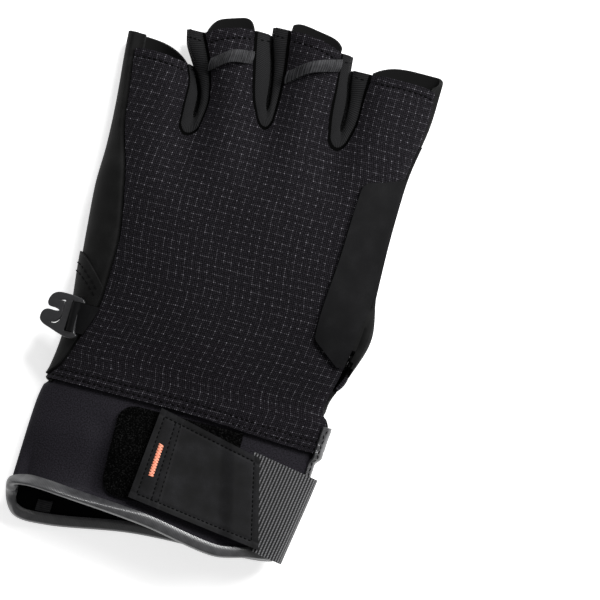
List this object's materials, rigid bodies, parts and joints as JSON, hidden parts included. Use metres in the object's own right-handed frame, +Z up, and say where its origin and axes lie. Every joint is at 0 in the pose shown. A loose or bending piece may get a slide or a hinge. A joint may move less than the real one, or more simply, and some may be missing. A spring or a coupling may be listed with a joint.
{
  "type": "climbing glove",
  "caption": "Half-finger climbing glove for the left hand, lying back up, with a strap cuff, leather palm, ripstop back, pull loops and the thumb folded under.",
  "frame": {"origin": "middle of the glove's bounding box, on the surface it lies on", "axes": "+Y towards the fingertips, +X towards the thumb side, +Z up through the back of the hand"},
  "size_m": [0.117, 0.193, 0.03],
  "materials": {
    "ripstop": "black ripstop cloth with small light threads",
    "leather": "smooth black synthetic leather",
    "stretch_cloth": "ribbed black stretch cloth",
    "softshell": "matte black softshell",
    "binding_tape": "grey elastic binding tape",
    "webbing": "dark grey ribbed webbing",
    "fuzz": "black looped pile",
    "hook_plastic": "satin dark grey nylon"
  },
  "bodies": {
    "root": {"back_panel": "ripstop", "palm_leather": "leather", "finger_gusset_1": "stretch_cloth", "finger_gusset_2": "stretch_cloth", "finger_gusset_3": "stretch_cloth", "thumb_palm": "leather", "thumb_back": "ripstop", "side_patch": "leather", "edge_piping": "leather", "heel_overlay": "leather", "palm_patch_centre": "leather", "palm_patch_index": "leather", "cuff": "softshell", "hem_binding": "binding_tape", "slit_binding_back": "binding_tape", "slit_binding_palm": "binding_tape", "loop_patch": "fuzz", "strap_tab": "leather", "strap_webbing": "webbing", "pull_loop_ring": "webbing", "pull_loop_middle": "webbing", "clip_tab": "leather", "clip_hook": "hook_plastic", "inner_label": "webbing"}
  },
  "joints": []
}
